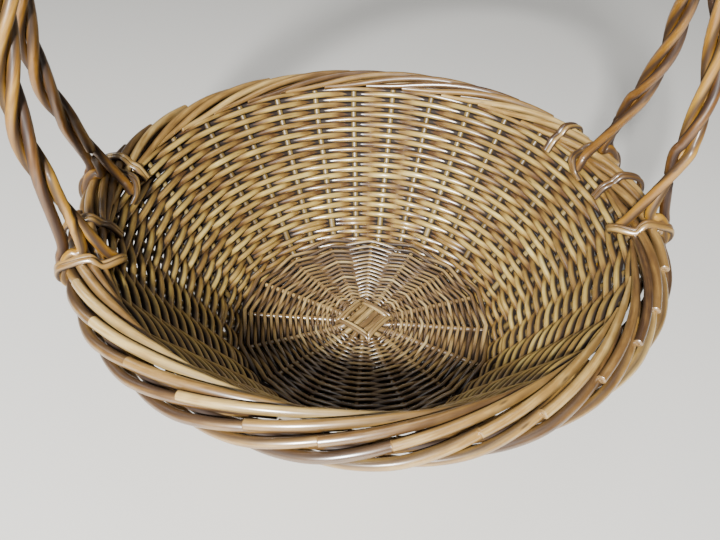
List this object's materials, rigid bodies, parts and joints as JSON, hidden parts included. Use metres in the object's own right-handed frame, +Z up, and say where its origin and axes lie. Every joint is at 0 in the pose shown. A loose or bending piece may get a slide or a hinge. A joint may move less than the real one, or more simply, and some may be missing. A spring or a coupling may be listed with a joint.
{
  "type": "wicker basket",
  "caption": "Round open willow basket with flared woven sides, a rolled border and a fixed arched handle of two twisted ropes lashed to the border.",
  "frame": {"origin": "on the ground, under the middle of the base", "axes": "+Z up, the handle spans along X and the ropes lie side by side along Y"},
  "size_m": [0.4534, 0.4292, 0.4434],
  "materials": {
    "base_sticks": "varnished willow, golden brown with dark stain in the hollows",
    "base_weavers": "varnished willow, darker brown",
    "stakes": "varnished willow, dull where the weave covers it",
    "side_weavers": "glossy varnished willow, honey brown",
    "border": "glossy varnished willow, reddish honey brown",
    "handle": "glossy varnished willow, orange brown with dark knots",
    "lashings": "varnished split willow, brown with pale highlights"
  },
  "bodies": {
    "root": {"base_weave": "base_weavers", "border_over_rods": "border", "border_under_rods": "border", "foot_round": "base_weavers", "front_rope_strand_1": "handle", "front_rope_strand_2": "handle", "front_rope_strand_3": "handle", "left_front_foot_lashing": "lashings", "left_middle_lashing": "lashings", "left_rear_foot_lashing": "lashings", "left_rear_lashing": "lashings", "rear_rope_strand_1": "handle", "rear_rope_strand_2": "handle", "rear_rope_strand_3": "handle", "right_front_foot_lashing": "lashings", "right_middle_lashing": "lashings", "right_rear_foot_lashing": "lashings", "right_rear_lashing": "lashings", "side_stakes": "stakes", "side_weaver_01": "side_weavers", "side_weaver_02": "side_weavers", "side_weaver_03": "side_weavers", "side_weaver_04": "side_weavers", "side_weaver_05": "side_weavers", "side_weaver_06": "side_weavers", "side_weaver_07": "side_weavers", "side_weaver_08": "side_weavers", "side_weaver_09": "side_weavers", "side_weaver_10": "side_weavers", "side_weaver_11": "side_weavers", "side_weaver_12": "side_weavers", "side_weaver_13": "side_weavers", "side_weaver_14": "side_weavers", "side_weaver_15": "side_weavers", "side_weaver_16": "side_weavers", "side_weaver_17": "side_weavers", "side_weaver_18": "side_weavers", "side_weaver_19": "side_weavers", "side_weaver_20": "side_weavers", "side_weaver_21": "side_weavers", "side_weaver_22": "side_weavers", "side_weaver_23": "side_weavers", "side_weaver_24": "side_weavers", "side_weaver_25": "side_weavers", "side_weaver_26": "side_weavers", "slath_binding": "base_weavers", "slath_sticks_lower": "base_sticks", "slath_sticks_upper": "base_sticks", "upsett_round_1": "side_weavers", "upsett_round_2": "side_weavers"}
  },
  "joints": []
}
